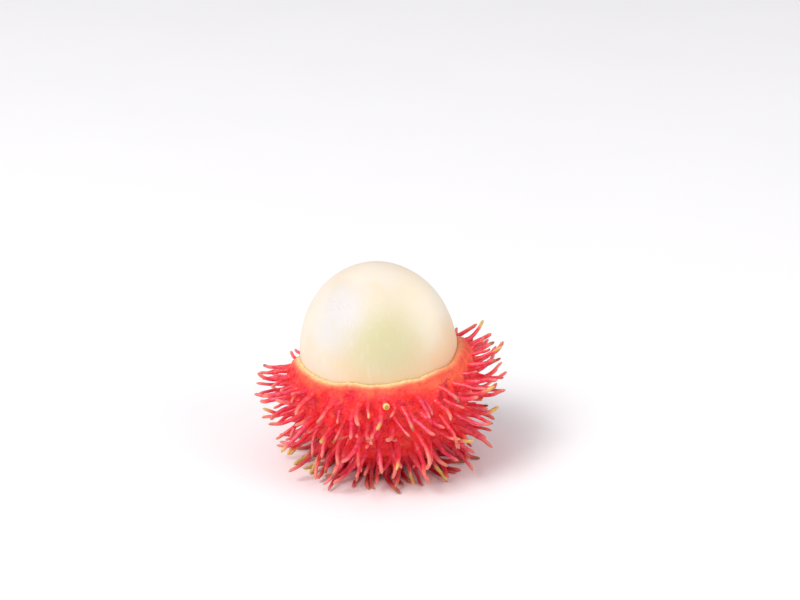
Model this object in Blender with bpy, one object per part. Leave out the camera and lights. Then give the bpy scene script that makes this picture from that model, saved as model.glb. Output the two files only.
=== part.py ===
"""A half-peeled rambutan: the lower half of the spiny rind, cut round like a cup, with the whole ball of
white flesh still sitting in it. Lengths are in metres, +Z is up, and the fruit stands on a small flat spot
at the origin, leaning a little to the left (-X) and to the front (-Y)."""

import math
import random

import bmesh
import bpy
from mathutils import Matrix, Vector

MM = 0.001

# The rind's outside is an ellipsoid round the fruit's own axis. The flesh is egg-shaped, on the same axis, and
# widest a little above the rind's widest ring.
FRUIT_RADIUS = 19.2 * MM
FRUIT_HALF_LENGTH = 24.0 * MM
FLESH_RADIUS = 16.8 * MM
FLESH_TOP_LENGTH = 19.6 * MM
FLESH_BOTTOM_LENGTH = 21.2 * MM
FLESH_RAISE = 1.1 * MM
FLESH_GAP = 0.3 * MM
LEAN_LEFT = math.radians(6.0)
LEAN_FORWARD = math.radians(4.0)
FLAT_SPOT_DEPTH = 0.7 * MM

# The torn edge of the rind. It is wavy, lies lower round the back, and its outer corner is rounded off.
CUT_TILT_LEFT = math.radians(4.0)
CUT_TILT_FORWARD = math.radians(4.0)
CUT_HEIGHT = 1.3 * MM
CUT_WAVES = ((3, 0.22 * MM, 0.4), (7, 0.13 * MM, 1.9), (11, 0.08 * MM, 4.1))
BACK_DROP = 3.4 * MM
BACK_DIRECTION = math.radians(100.0)
RIM_ROUNDING = ((0.84, 0.0), (0.93, 0.16 * MM), (1.0, 0.7 * MM))

# The soft spines. Bends are sideways and downward turns of a spine's heading, the lift turns the upper ones
# up, most of all to the right, and the droop turns those at the front down.
LATTICE_POINTS = 400
LATTICE_JITTER = 0.05
SPINE_SEED = 7
RIM_MARGIN = 1.4 * MM
RIM_CLEARANCE = 0.2 * MM
FLAT_MARGIN = 1.4 * MM
SPINE_LENGTH = (7.6 * MM, 11.2 * MM)
RIM_SPINE_SHARE = 0.8
RIM_SPINE_BAND = 7.0 * MM
SPINE_SINK = 1.1 * MM
SPINE_SIDES = 4
SPINE_STATIONS = (0.0, 0.21, 0.45, 0.74, 1.0)
SPINE_RADII = (1.7 * MM, 0.74 * MM, 0.54 * MM, 0.46 * MM, 0.33 * MM)
SIDE_BEND = 0.7
DOWN_BEND = 0.6
SIDE_CURL = 1.6
DOWN_CURL = 1.1
SPINE_LIFT = 0.34
LIFT_TO_RIGHT = 0.6
FRONT_DROOP = 0.55
STEEPEST_RISE = 0.95

RIND_SEGMENTS = 36
RIND_RINGS = 10
FLESH_SEGMENTS = 36
FLESH_RINGS = 18
SHARP_ANGLE = math.radians(50.0)
GOLDEN_ANGLE = math.pi * (3.0 - math.sqrt(5.0))

RIND_COLOUR = (0.76, 0.05, 0.045)
RIND_ROUGHNESS = 0.45
FLESH_COLOUR = (0.88, 0.82, 0.66)
FLESH_ROUGHNESS = 0.25


def fruit_axes():
    """The rotation that leans the upright fruit to the left and to the front."""
    return Matrix.Rotation(LEAN_FORWARD, 3, "X") @ Matrix.Rotation(-LEAN_LEFT, 3, "Y")


def fruit_centre(axes):
    """The centre that puts the leaning fruit's lowest point under the origin by the flat spot's depth."""
    squares = Matrix.Diagonal((FRUIT_RADIUS**2, FRUIT_RADIUS**2, FRUIT_HALF_LENGTH**2))
    down = Vector((0.0, 0.0, -1.0))
    reach = axes @ squares @ axes.transposed() @ down
    reach /= math.sqrt(reach.dot(down))
    return Vector((0.0, 0.0, -FLAT_SPOT_DEPTH)) - reach


AXES = fruit_axes()
CENTRE = fruit_centre(AXES)


def to_world(point):
    """A point given from the fruit's centre and along its axis, in the part's frame."""
    return CENTRE + AXES @ Vector(point)


def cut_normal():
    """The cut's upward normal in the part's frame."""
    turn = Matrix.Rotation(CUT_TILT_FORWARD, 3, "X") @ Matrix.Rotation(-CUT_TILT_LEFT, 3, "Y")
    return turn @ Vector((0.0, 0.0, 1.0))


def smooth_step(low, high, value):
    """Rises smoothly from 0 at low to 1 at high."""
    share = min(1.0, max(0.0, (value - low) / (high - low)))
    return share * share * (3.0 - 2.0 * share)


def rim_angle(azimuth):
    """The angle from the fruit's lower pole, seen along its axis, at which the rind is cut."""
    normal = AXES.transposed() @ cut_normal()
    across = FRUIT_RADIUS * (normal.x * math.cos(azimuth) + normal.y * math.sin(azimuth))
    along = FRUIT_HALF_LENGTH * normal.z
    height = CUT_HEIGHT + sum(size * math.sin(count * azimuth + phase) for count, size, phase in CUT_WAVES)
    height -= BACK_DROP * smooth_step(-0.1, 0.6, math.cos(azimuth - BACK_DIRECTION))
    return math.atan2(along, across) + math.asin(height / math.hypot(across, along))


def rind_point(angle, azimuth, inset=0.0):
    """A point on the rind's outer surface, or set in towards the axis, from the fruit's centre."""
    radius = FRUIT_RADIUS * math.sin(angle) - inset
    return (radius * math.cos(azimuth), radius * math.sin(azimuth), -FRUIT_HALF_LENGTH * math.cos(angle))


def rind_normal(angle, azimuth):
    """The outward normal there, in the part's frame."""
    x, y, z = rind_point(angle, azimuth)
    return (AXES @ Vector((x / FRUIT_RADIUS**2, y / FRUIT_RADIUS**2, z / FRUIT_HALF_LENGTH**2))).normalized()


def new_object(name, mesh, collection=None):
    """Links a new object for the mesh to the collection, or to the scene."""
    made = bpy.data.objects.new(name, mesh)
    (collection or bpy.context.scene.collection).objects.link(made)
    return made


def mesh_of(name, bm):
    """A mesh data block made from the bmesh, which is freed."""
    bmesh.ops.recalc_face_normals(bm, faces=bm.faces)
    mesh = bpy.data.meshes.new(name)
    bm.to_mesh(mesh)
    bm.free()
    return mesh


def join_rings(bm, lower, upper):
    """Faces between two rings with the same number of vertices."""
    count = len(lower)
    for i in range(count):
        after = (i + 1) % count
        bm.faces.new((lower[i], lower[after], upper[after], upper[i]))


def cap_ring(bm, ring, tip):
    """A fan of triangles from a ring to one point."""
    for i in range(len(ring)):
        bm.faces.new((ring[i], ring[(i + 1) % len(ring)], tip))


def make_rind_body():
    """The half fruit as one solid, flat where it stands, before its spines and its hollow."""
    bm = bmesh.new()
    azimuths = [2.0 * math.pi * i / RIND_SEGMENTS for i in range(RIND_SEGMENTS)]
    rings = []
    levels = [(RIM_ROUNDING[0][0] * step / RIND_RINGS, 0.0) for step in range(1, RIND_RINGS)]
    for share, inset in (*levels, *RIM_ROUNDING):
        rings.append([bm.verts.new(to_world(rind_point(share * rim_angle(a), a, inset))) for a in azimuths])
    for lower, upper in zip(rings, rings[1:]):
        join_rings(bm, lower, upper)
    cap_ring(bm, rings[0], bm.verts.new(to_world((0.0, 0.0, -FRUIT_HALF_LENGTH))))
    cap_ring(bm, rings[-1], bm.verts.new(to_world((0.0, 0.0, CUT_HEIGHT))))
    everything = bm.verts[:] + bm.edges[:] + bm.faces[:]
    cut = bmesh.ops.bisect_plane(
        bm, geom=everything, dist=1e-7, plane_co=(0, 0, 0), plane_no=(0, 0, 1), clear_inner=True
    )
    edges = [item for item in cut["geom_cut"] if isinstance(item, bmesh.types.BMEdge)]
    bmesh.ops.edgenet_fill(bm, edges=edges)
    return new_object("rind", mesh_of("rind", bm))


def spine_path(root, normal, below_rim, draws):
    """Points along one spine, from its sunk root to its tip. It leaves square to the rind, bends and curls a
    little, is shorter near the rim, and lies along the floor where it meets it."""
    length_draw, side_draw, droop_draw, curl_draw = draws
    length = SPINE_LENGTH[0] + (SPINE_LENGTH[1] - SPINE_LENGTH[0]) * length_draw
    length *= RIM_SPINE_SHARE + (1.0 - RIM_SPINE_SHARE) * smooth_step(RIM_MARGIN, RIM_SPINE_BAND, below_rim)
    down = Vector((0.0, 0.0, -1.0))
    side = normal.cross(down).normalized()
    outward = Vector((normal.x, normal.y, 0.0)).normalized()
    lift = SPINE_LIFT * (1.0 + LIFT_TO_RIGHT * normal.x) - FRONT_DROOP * smooth_step(0.2, 1.0, -normal.y)
    lift *= smooth_step(-0.75, 0.1, normal.z)
    bend = side * SIDE_BEND * (side_draw - 0.5) + down * (DOWN_BEND * (droop_draw - 0.5) - lift)
    curl = side * SIDE_CURL * (curl_draw - 0.5) + down * (DOWN_CURL * (side_draw - 0.5) - 0.8 * lift)
    points = [root - normal * SPINE_SINK]
    for index in range(1, len(SPINE_STATIONS)):
        share = SPINE_STATIONS[index]
        step = (share - SPINE_STATIONS[index - 1]) * (length + SPINE_SINK)
        heading = (normal + bend * share + curl * share**3).normalized()
        floor = SPINE_RADII[index]
        here = points[-1]
        if here.z + step * heading.z < floor:
            rise = max(-STEEPEST_RISE, min(STEEPEST_RISE, (floor - here.z) / step))
            level = (outward + Vector((heading.x, heading.y, 0.0))).normalized()
            heading = level * math.sqrt(1.0 - rise**2) + Vector((0.0, 0.0, rise))
        points.append(here + heading * step)
    return points


def spine_roots():
    """(root, normal, distance below the rim, draws) of each spine, on a spiral that covers the rind evenly."""
    rng = random.Random(SPINE_SEED)
    flat_radius = math.sqrt(2.0 * FLAT_SPOT_DEPTH * FRUIT_RADIUS**2 / FRUIT_HALF_LENGTH)
    for index in range(LATTICE_POINTS):
        shift, turn, *draws = (rng.random() for _ in range(6))
        level = 1.0 - 2.0 * (index + 0.5) / LATTICE_POINTS + LATTICE_JITTER * (shift - 0.5)
        angle = math.acos(max(-1.0, min(1.0, level)))
        azimuth = index * GOLDEN_ANGLE + 2.0 * LATTICE_JITTER * (turn - 0.5) / max(0.2, math.sin(angle))
        root = to_world(rind_point(angle, azimuth))
        below_rim = FRUIT_RADIUS * (rim_angle(azimuth) - angle)
        beyond_flat = math.hypot(root.x, root.y) - flat_radius
        if below_rim > RIM_MARGIN and (beyond_flat > FLAT_MARGIN or root.z > CENTRE.z):
            yield root, rind_normal(angle, azimuth), below_rim, draws


def make_spine(index, path, below_rim, collection):
    """One tapering spine with few sides, along its path. Its foot stays below the rim, and at its tip a corner
    points down, so that it can rest on the floor."""
    bm = bmesh.new()
    rings = []
    across = Vector((0.0, 0.0, -1.0))
    for step in reversed(range(len(path))):
        point = path[step]
        before = path[max(0, step - 1)]
        after = path[min(len(path) - 1, step + 1)]
        along = (after - before).normalized()
        across = (across - along * across.dot(along)).normalized()
        other = along.cross(across)
        radius = min(SPINE_RADII[step], point.z, below_rim - RIM_CLEARANCE)
        ring = []
        for side in range(SPINE_SIDES):
            turn = 2.0 * math.pi * side / SPINE_SIDES
            ring.append(bm.verts.new(point + radius * (across * math.cos(turn) + other * math.sin(turn))))
        rings.append(ring)
    for lower, upper in zip(rings, rings[1:]):
        join_rings(bm, lower, upper)
    bm.faces.new(rings[0])
    bm.faces.new(rings[-1])
    name = f"spine_{index:03d}"
    return new_object(name, mesh_of(name, bm), collection)


def apply_modifiers(obj):
    """Makes the object's mesh what its modifiers give, and removes them."""
    graph = bpy.context.evaluated_depsgraph_get()
    made = bpy.data.meshes.new_from_object(obj.evaluated_get(graph))
    old = obj.data
    obj.modifiers.clear()
    obj.data = made
    bpy.data.meshes.remove(old)


def add_spines(rind):
    """Joins every spine to the rind in one union."""
    collection = bpy.data.collections.new("spines")
    bpy.context.scene.collection.children.link(collection)
    for index, root in enumerate(spine_roots()):
        make_spine(index, spine_path(*root), root[2], collection)
    union = rind.modifiers.new("spines", "BOOLEAN")
    union.operation = "UNION"
    union.operand_type = "COLLECTION"
    union.collection = collection
    union.solver = "EXACT"
    apply_modifiers(rind)
    for spine in list(collection.objects):
        mesh = spine.data
        bpy.data.objects.remove(spine)
        bpy.data.meshes.remove(mesh)
    bpy.data.collections.remove(collection)


def make_egg(name, grow):
    """The flesh's closed egg shape, grown all round by a length."""
    bm = bmesh.new()
    bmesh.ops.create_uvsphere(bm, u_segments=FLESH_SEGMENTS, v_segments=FLESH_RINGS, radius=1.0)
    radius = FLESH_RADIUS + grow
    for vert in bm.verts:
        half_length = (FLESH_TOP_LENGTH if vert.co.z > 0.0 else FLESH_BOTTOM_LENGTH) + grow
        vert.co *= Vector((radius, radius, half_length))
    egg = new_object(name, mesh_of(name, bm))
    egg.location = to_world((0.0, 0.0, FLESH_RAISE))
    egg.rotation_euler = AXES.to_euler()
    return egg


def hollow_rind(rind):
    """Cuts the hollow that the flesh sits in."""
    cutter = make_egg("hollow", FLESH_GAP)
    hollow = rind.modifiers.new("hollow", "BOOLEAN")
    hollow.operation = "DIFFERENCE"
    hollow.object = cutter
    hollow.solver = "EXACT"
    apply_modifiers(rind)
    mesh = cutter.data
    bpy.data.objects.remove(cutter)
    bpy.data.meshes.remove(mesh)


def finish(obj, name, colour, roughness):
    """Smooth shading with crisp corners, and a plain Principled material."""
    obj.data.shade_smooth()
    obj.data.set_sharp_from_angle(angle=SHARP_ANGLE)
    material = bpy.data.materials.new(name)
    material.use_nodes = True
    shader = material.node_tree.nodes["Principled BSDF"]
    shader.inputs["Base Color"].default_value = (*colour, 1.0)
    shader.inputs["Roughness"].default_value = roughness
    shader.inputs["Metallic"].default_value = 0.0
    obj.data.materials.clear()
    obj.data.materials.append(material)


def main():
    for old in list(bpy.data.objects):
        bpy.data.objects.remove(old)
    rind = make_rind_body()
    add_spines(rind)
    hollow_rind(rind)
    finish(rind, "red_rind", RIND_COLOUR, RIND_ROUGHNESS)
    flesh = make_egg("flesh", 0.0)
    finish(flesh, "white_flesh", FLESH_COLOUR, FLESH_ROUGHNESS)


main()
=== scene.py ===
"""A half-peeled rambutan on a pale floor. The lower half of the spiny red rind is a cup with a torn, wavy
rim, and the whole white flesh sits in it. Lengths are in metres, +Z is up."""

import math
import random
from collections import defaultdict, namedtuple

import bmesh
import bpy
from mathutils import Matrix, Vector, kdtree, noise


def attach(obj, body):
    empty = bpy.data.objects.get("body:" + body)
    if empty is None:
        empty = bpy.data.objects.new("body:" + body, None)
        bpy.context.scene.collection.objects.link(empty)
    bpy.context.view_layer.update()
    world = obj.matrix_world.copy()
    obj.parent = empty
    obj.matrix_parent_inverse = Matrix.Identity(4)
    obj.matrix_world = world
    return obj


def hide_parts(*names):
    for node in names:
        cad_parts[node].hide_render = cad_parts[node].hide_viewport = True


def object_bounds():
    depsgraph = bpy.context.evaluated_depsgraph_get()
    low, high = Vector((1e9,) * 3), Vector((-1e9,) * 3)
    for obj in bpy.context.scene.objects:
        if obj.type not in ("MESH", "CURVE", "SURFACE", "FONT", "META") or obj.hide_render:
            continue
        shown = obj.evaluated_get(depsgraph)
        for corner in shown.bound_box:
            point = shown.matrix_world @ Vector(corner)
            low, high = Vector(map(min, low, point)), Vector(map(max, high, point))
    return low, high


bl_info = {
    "name": "Half-peeled rambutan",
    "version": (1, 0, 0),
    "blender": (4, 5, 0),
    "location": "3D View > Sidebar > Rambutan",
    "description": "Builds the rind with its spines, the flesh, and a plain studio stage",
    "category": "Object",
}

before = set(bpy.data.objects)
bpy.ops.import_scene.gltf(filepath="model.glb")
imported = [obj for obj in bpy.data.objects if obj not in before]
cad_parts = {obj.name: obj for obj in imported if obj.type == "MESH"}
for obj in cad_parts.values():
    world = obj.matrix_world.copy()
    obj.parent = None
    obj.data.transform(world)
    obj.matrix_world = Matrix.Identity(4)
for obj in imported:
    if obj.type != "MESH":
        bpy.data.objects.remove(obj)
CAD_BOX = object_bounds()

MM = 0.001

# The rind's outside and the flesh, on the fruit's own axis.
FRUIT_RADIUS = 19.2 * MM
FRUIT_HALF_LENGTH = 24.0 * MM
FLESH_RADIUS = 16.8 * MM
FLESH_TOP_LENGTH = 19.6 * MM
FLESH_BOTTOM_LENGTH = 21.2 * MM
FLESH_RAISE = 1.1 * MM
LEAN_LEFT = math.radians(6.0)
LEAN_FORWARD = math.radians(4.0)
FLAT_SPOT_DEPTH = 0.7 * MM

# The torn edge of the rind.
CUT_TILT_LEFT = math.radians(4.0)
CUT_TILT_FORWARD = math.radians(4.0)
CUT_HEIGHT = 1.3 * MM
CUT_WAVES = ((3, 0.22 * MM, 0.4), (7, 0.13 * MM, 1.9), (11, 0.08 * MM, 4.1))
BACK_DROP = 3.4 * MM
BACK_DIRECTION = math.radians(100.0)
BACK_FADE = (-0.1, 0.6)
RIM_INSET = 0.7 * MM
RIM_INSET_RANGE = (0.84, 1.16)

# Where the solids' spines grow and how they bend. A radius is given at each station but the first.
LATTICE_POINTS = 400
LATTICE_JITTER = 0.05
SPINE_SEED = 7
RIM_MARGIN = 1.4 * MM
RIM_CLEARANCE = 0.2 * MM
FLAT_MARGIN = 1.4 * MM
SPINE_LENGTH = (7.6 * MM, 11.2 * MM)
RIM_SPINE_SHARE = 0.8
RIM_SPINE_BAND = 7.0 * MM
SPINE_SINK = 1.1 * MM
SPINE_STATIONS = (0.0, 0.21, 0.45, 0.74, 1.0)
SPINE_RADII = (0.74 * MM, 0.54 * MM, 0.46 * MM, 0.33 * MM)
SIDE_BEND = 0.7
DOWN_BEND = 0.6
SIDE_CURL = 1.6
DOWN_CURL = 1.1
SPINE_LIFT = 0.34
LIFT_TO_RIGHT = 0.6
FRONT_DROOP = 0.55
FRONT_FADE = (0.2, 1.0)
LIFT_FADE = (-0.75, 0.1)
CURL_LIFT = 0.8
STEEPEST_RISE = 0.95
GOLDEN_ANGLE = math.pi * (3.0 - math.sqrt(5.0))

# More and thinner spines between those of the solids.
FINE_POINTS = 1400
FINE_SEED = 23
FINE_GAP = 1.8 * MM
FINE_SHARE = (0.55, 0.95)
FINE_RIM_MARGIN = 1.1 * MM

# One short spine at the front, whose end is broken off: its steps out from the rind and down, in millimetres,
# and its thickness at each of them.
BROKEN_AZIMUTH = math.radians(-86.0)
BROKEN_BELOW_RIM = 1.3 * MM
BROKEN_STEPS = ((-1.1, 0.0), (0.8, 0.1), (1.7, 0.35), (2.4, 0.45), (3.0, 0.35))
BROKEN_THICKNESS = (0.9, 1.0, 1.3, 1.8, 2.05)

# A spine that would reach past the solids' box by its sides is drawn in by the first of these that helps.
DRAWN_IN = (1.0, 0.93, 0.86, 0.8, 0.74, 0.68)
BOX_MARGIN = 0.3 * MM

# The spines' range of thickness, the waver's density, and the curves of foot, taper and blunt tip.
THICKNESS_RANGE = (0.8, 1.15)
WIDEST_FOOT = 0.95
WAVER_DENSITY = 260.0
FLARE_POWER = 5.0
TAPER_POWER = 1.1
TIP_CLOSING = 17.0
TIP_OPENING = 0.004

# The torn edge touches the flesh, stands a little higher than the solid's and is ragged.
LIP_CLING = 0.05 * MM
LIP_RISE = 0.35 * MM
RIM_RAGGED = 0.2 * MM
INNER_RAGGED = 0.12 * MM
CUT_RAGGED = 0.04 * MM
RAGGED_SCALES = (6.0, 22.0)
CUT_CROWN = 0.22 * MM
CREAM_FROM = 0.8

# The skin swells round the spines' feet, has small lumps and sinks between the feet. It is calmer at the rim.
NEAREST_SPINES = 3
SWELL_POWER = 1.7
LUMP_SIZE = 1.6 * MM
LUMPS_IN_SWELL = 0.25
SINKING = 0.12 * MM
RIM_FADE = 1.1 * MM
POLE_BELOW_RIM = 30.0

# How finely the skin and the flesh are divided.
SKIN_SEGMENTS = 400
SKIN_ROWS = 104
SKIN_ROW_POWER = 0.93
CUT_ROWS = 6
INNER_ROWS = 12
FLESH_SUBDIVISIONS = 7
FLESH_DIMPLES = 0.006

# Coloured places of the flesh, from the fruit's centre and along its axis: the greenish heart, and the
# middles of the painted reflection of the soft light.
GREEN_HEART = (2.0 * MM, -14.0 * MM, 9.5 * MM)
UPPER_REFLECTION = (-6.3 * MM, -8.3 * MM, 15.4 * MM)
LOWER_REFLECTION = (-8.8 * MM, -10.0 * MM, 12.6 * MM)
WRINKLE_SPACING = 0.13 * MM

# The stage.
FLOOR_REACH = 3.0
SURROUND_COLOUR = (0.99, 0.965, 1.0, 1.0)
KEY_PLACE = (-0.75, -0.65, 1.15)
KEY_SIZE = 0.7
FILL_PLACE = (1.1, -0.6, 0.7)
FILL_SIZE = 0.8
SENSOR_WIDTH = 36.0

# One spine. The broken one has no draws, and size is its share of a full spine's length.
Spine = namedtuple("Spine", "root normal below_rim draws size")


# ---------------------------------------------------------------- the fruit's shape


def fruit_axes():
    """The rotation that leans the upright fruit to the left and to the front."""
    return Matrix.Rotation(LEAN_FORWARD, 3, "X") @ Matrix.Rotation(-LEAN_LEFT, 3, "Y")


def fruit_centre(axes):
    """The centre that puts the leaning fruit's lowest point under the origin by the flat spot's depth."""
    squares = Matrix.Diagonal((FRUIT_RADIUS**2, FRUIT_RADIUS**2, FRUIT_HALF_LENGTH**2))
    down = Vector((0.0, 0.0, -1.0))
    reach = axes @ squares @ axes.transposed() @ down
    reach /= math.sqrt(reach.dot(down))
    return Vector((0.0, 0.0, -FLAT_SPOT_DEPTH)) - reach


AXES = fruit_axes()
CENTRE = fruit_centre(AXES)


def to_world(point):
    """A point given from the fruit's centre and along its axis, in the part's frame."""
    return CENTRE + AXES @ Vector(point)


def to_fruit(point):
    """The reverse of to_world."""
    return AXES.transposed() @ (Vector(point) - CENTRE)


def cut_normal():
    """The cut's upward normal in the part's frame."""
    turn = Matrix.Rotation(CUT_TILT_FORWARD, 3, "X") @ Matrix.Rotation(-CUT_TILT_LEFT, 3, "Y")
    return turn @ Vector((0.0, 0.0, 1.0))


def smooth_step(low, high, value):
    """Rises smoothly from 0 at low to 1 at high."""
    share = min(1.0, max(0.0, (value - low) / (high - low)))
    return share * share * (3.0 - 2.0 * share)


def rim_angle(azimuth):
    """The angle from the fruit's lower pole, seen along its axis, at which the rind is cut."""
    normal = AXES.transposed() @ cut_normal()
    across = FRUIT_RADIUS * (normal.x * math.cos(azimuth) + normal.y * math.sin(azimuth))
    along = FRUIT_HALF_LENGTH * normal.z
    height = CUT_HEIGHT + sum(size * math.sin(count * azimuth + phase) for count, size, phase in CUT_WAVES)
    height -= BACK_DROP * smooth_step(*BACK_FADE, math.cos(azimuth - BACK_DIRECTION))
    return math.atan2(along, across) + math.asin(height / math.hypot(across, along))


def rind_point(angle, azimuth, inset=0.0):
    """A point on the rind's outer surface, or set in towards the axis, from the fruit's centre."""
    radius = FRUIT_RADIUS * math.sin(angle) - inset
    return (radius * math.cos(azimuth), radius * math.sin(azimuth), -FRUIT_HALF_LENGTH * math.cos(angle))


def rind_normal(angle, azimuth):
    """The outward normal there, in the part's frame."""
    x, y, z = rind_point(angle, azimuth)
    return (AXES @ Vector((x / FRUIT_RADIUS**2, y / FRUIT_RADIUS**2, z / FRUIT_HALF_LENGTH**2))).normalized()


def lattice(count, seed, rim_margin):
    """Full spines on a spiral that covers the rind below the rim, apart from the flat spot."""
    rng = random.Random(seed)
    flat_radius = math.sqrt(2.0 * FLAT_SPOT_DEPTH * FRUIT_RADIUS**2 / FRUIT_HALF_LENGTH)
    for index in range(count):
        shift, turn, *draws = (rng.random() for _ in range(6))
        level = 1.0 - 2.0 * (index + 0.5) / count + LATTICE_JITTER * (shift - 0.5)
        angle = math.acos(max(-1.0, min(1.0, level)))
        azimuth = index * GOLDEN_ANGLE + 2.0 * LATTICE_JITTER * (turn - 0.5) / max(0.2, math.sin(angle))
        root = to_world(rind_point(angle, azimuth))
        below_rim = FRUIT_RADIUS * (rim_angle(azimuth) - angle)
        beyond_flat = math.hypot(root.x, root.y) - flat_radius
        if below_rim > rim_margin and (beyond_flat > FLAT_MARGIN or root.z > CENTRE.z):
            yield Spine(root, rind_normal(angle, azimuth), below_rim, draws, 1.0)


def broken_spine():
    """The spine whose end is broken off."""
    angle = rim_angle(BROKEN_AZIMUTH) - BROKEN_BELOW_RIM / FRUIT_RADIUS
    root = to_world(rind_point(angle, BROKEN_AZIMUTH))
    return Spine(root, rind_normal(angle, BROKEN_AZIMUTH), BROKEN_BELOW_RIM, None, 1.0)


def all_spines():
    """The spines of the solids, the broken one, and smaller ones between them, none too near another."""
    rng = random.Random(FINE_SEED)
    found = list(lattice(LATTICE_POINTS, SPINE_SEED, RIM_MARGIN))
    found.append(broken_spine())
    for spine in lattice(FINE_POINTS, FINE_SEED, FINE_RIM_MARGIN):
        if all((spine.root - other.root).length > FINE_GAP for other in found):
            found.append(spine._replace(size=rng.uniform(*FINE_SHARE)))
    return found


def spine_path(spine):
    """Points along one spine, from its sunk root to its tip. It leaves square to the rind, bends and curls a
    little, is shorter near the rim, and lies along the floor where it meets it."""
    root, normal, below_rim, draws, _ = spine
    length_draw, side_draw, droop_draw, curl_draw = draws
    length = SPINE_LENGTH[0] + (SPINE_LENGTH[1] - SPINE_LENGTH[0]) * length_draw
    length *= RIM_SPINE_SHARE + (1.0 - RIM_SPINE_SHARE) * smooth_step(RIM_MARGIN, RIM_SPINE_BAND, below_rim)
    down = Vector((0.0, 0.0, -1.0))
    side = normal.cross(down).normalized()
    outward = Vector((normal.x, normal.y, 0.0)).normalized()
    lift = SPINE_LIFT * (1.0 + LIFT_TO_RIGHT * normal.x) - FRONT_DROOP * smooth_step(*FRONT_FADE, -normal.y)
    lift *= smooth_step(*LIFT_FADE, normal.z)
    bend = side * SIDE_BEND * (side_draw - 0.5) + down * (DOWN_BEND * (droop_draw - 0.5) - lift)
    curl = side * SIDE_CURL * (curl_draw - 0.5) + down * (DOWN_CURL * (side_draw - 0.5) - CURL_LIFT * lift)
    points = [root - normal * SPINE_SINK]
    for before, share, radius in zip(SPINE_STATIONS, SPINE_STATIONS[1:], SPINE_RADII):
        step = (share - before) * (length + SPINE_SINK)
        heading = (normal + bend * share + curl * share**3).normalized()
        here = points[-1]
        if here.z + step * heading.z < radius:
            rise = max(-STEEPEST_RISE, min(STEEPEST_RISE, (radius - here.z) / step))
            level = (outward + Vector((heading.x, heading.y, 0.0))).normalized()
            heading = level * math.sqrt(1.0 - rise**2) + Vector((0.0, 0.0, rise))
        points.append(here + heading * step)
    return points


# ---------------------------------------------------------------- meshes


def add_object(name, data):
    """Puts a mesh, a light or a camera into the scene, at the origin."""
    made = bpy.data.objects.new(name, data)
    bpy.context.scene.collection.objects.link(made)
    return made


def add_mesh(name, vertices, edges, faces, attributes):
    """A smooth mesh object with one float attribute for each entry of attributes."""
    mesh = bpy.data.meshes.new(name)
    mesh.from_pydata(vertices, edges, faces)
    for attribute, values in attributes.items():
        mesh.attributes.new(attribute, "FLOAT", "POINT").data.foreach_set("value", values)
    mesh.shade_smooth()
    mesh.update()
    return add_object(name, mesh)


def closed_rows(rows, first, last):
    """Vertices and faces of a closed surface from loops of points between two single points."""
    count = len(rows[0])
    vertices = [first] + [point for row in rows for point in row] + [last]
    faces = [(0, 1 + (i + 1) % count, 1 + i) for i in range(count)]
    for row in range(len(rows) - 1):
        low, high = 1 + row * count, 1 + (row + 1) * count
        for i in range(count):
            after = (i + 1) % count
            faces.append((low + i, low + after, high + after, high + i))
    top = 1 + (len(rows) - 1) * count
    faces += [(top + i, top + (i + 1) % count, len(vertices) - 1) for i in range(count)]
    return vertices, faces


def rim_inset(share):
    """How far the rind's outer surface is rounded in towards the rim."""
    return RIM_INSET * smooth_step(*RIM_INSET_RANGE, share) / smooth_step(*RIM_INSET_RANGE, 1.0)


def hollow_point(angle, azimuth):
    """A point on the rind's inside, where the flesh sits, from the fruit's centre."""
    radius = (FLESH_RADIUS - LIP_CLING) * math.sin(angle)
    half_length = (FLESH_BOTTOM_LENGTH if angle < math.pi / 2.0 else FLESH_TOP_LENGTH) - LIP_CLING
    height = FLESH_RAISE - half_length * math.cos(angle)
    return Vector((radius * math.cos(azimuth), radius * math.sin(azimuth), height))


def hollow_rim_angle(height):
    """The angle at which the hollow reaches a height along the fruit's axis."""
    above = height - FLESH_RAISE
    half_length = (FLESH_BOTTOM_LENGTH if above < 0.0 else FLESH_TOP_LENGTH) - LIP_CLING
    return math.acos(-above / half_length)


def ragged(azimuth, strength):
    """A fine unevenness of the torn edge, the same at each end of a turn."""
    coarse, fine = RAGGED_SCALES
    spot = Vector((math.cos(azimuth), math.sin(azimuth), 0.3))
    return strength * (noise.fractal(spot * coarse, 1.0, 2.0, 3) + 0.5 * noise.noise(spot * fine))


def root_tree():
    """A search tree of the spines' roots."""
    found = all_spines()
    roots = kdtree.KDTree(len(found))
    for index, spine in enumerate(found):
        roots.insert(spine.root, index)
    roots.balance()
    return roots


def swell_at(point, roots, width):
    """How far up the swollen foot of the nearest spines a point on the skin lies, from 0 to 1."""
    total = 0.0
    for _, _, distance in roots.find_n(point, NEAREST_SPINES):
        total += math.exp(-((distance / width) ** SWELL_POWER))
    return min(1.0, total)


def skin_row(share, azimuths, rims, roots, settings):
    """One loop of the skin: its points, how swollen each is, and how many millimetres below the rim."""
    points, swells, depths = [], [], []
    for azimuth, rim in zip(azimuths, rims):
        angle = share * rim
        base = to_world(rind_point(angle, azimuth, rim_inset(share)))
        normal = rind_normal(angle, azimuth)
        depth = FRUIT_RADIUS * (rim - angle)
        fade = smooth_step(0.0, RIM_FADE, depth)
        foot = swell_at(base, roots, settings.foot_width)
        lumps = noise.fractal(base / LUMP_SIZE, 0.9, 2.1, 4)
        height = settings.foot_height * foot * (0.4 + 0.6 * fade)
        height += settings.lump_height * lumps * (0.5 + 0.5 * fade)
        height -= SINKING * fade * (1.0 - foot)
        point = base + normal * height
        point.z = max(0.0, point.z)
        points.append(point)
        swells.append(foot + LUMPS_IN_SWELL * lumps)
        depths.append(depth / MM)
    return points, swells, depths


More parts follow.
